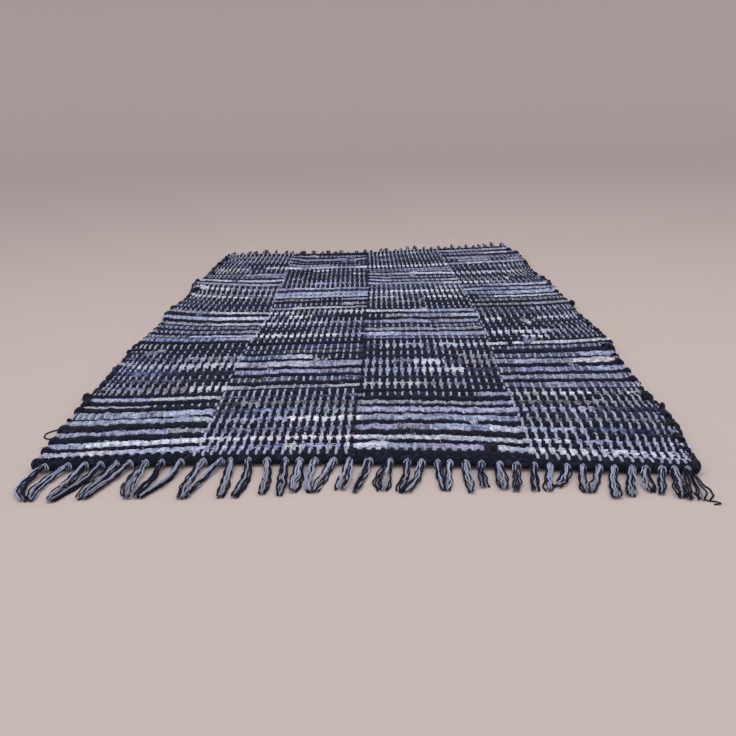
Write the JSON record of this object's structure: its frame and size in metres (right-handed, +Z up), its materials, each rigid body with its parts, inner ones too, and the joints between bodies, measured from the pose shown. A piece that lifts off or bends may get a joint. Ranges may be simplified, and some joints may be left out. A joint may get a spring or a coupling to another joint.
{
  "type": "rag rug",
  "caption": "Flat hand-woven cotton rag rug in a blue, white and black log-cabin weave, with ribbed picks, thick end headings and a short knotted warp fringe at both ends.",
  "frame": {"origin": "under the middle of the cloth, on the plane the rug rests on", "axes": "+Z up out of the cloth's face, +Y along the length from the fringe nearer the viewer to the far one, +X to the viewer's right"},
  "size_m": [0.6624, 1.0324, 0.0113],
  "materials": {
    "rag_cloth": "matt woven cotton rag",
    "cotton_yarn": "matt cotton yarn over dark rag"
  },
  "bodies": {
    "root": {"woven_cloth": "rag_cloth", "heading_front": "cotton_yarn", "heading_back": "cotton_yarn"}
  },
  "joints": []
}
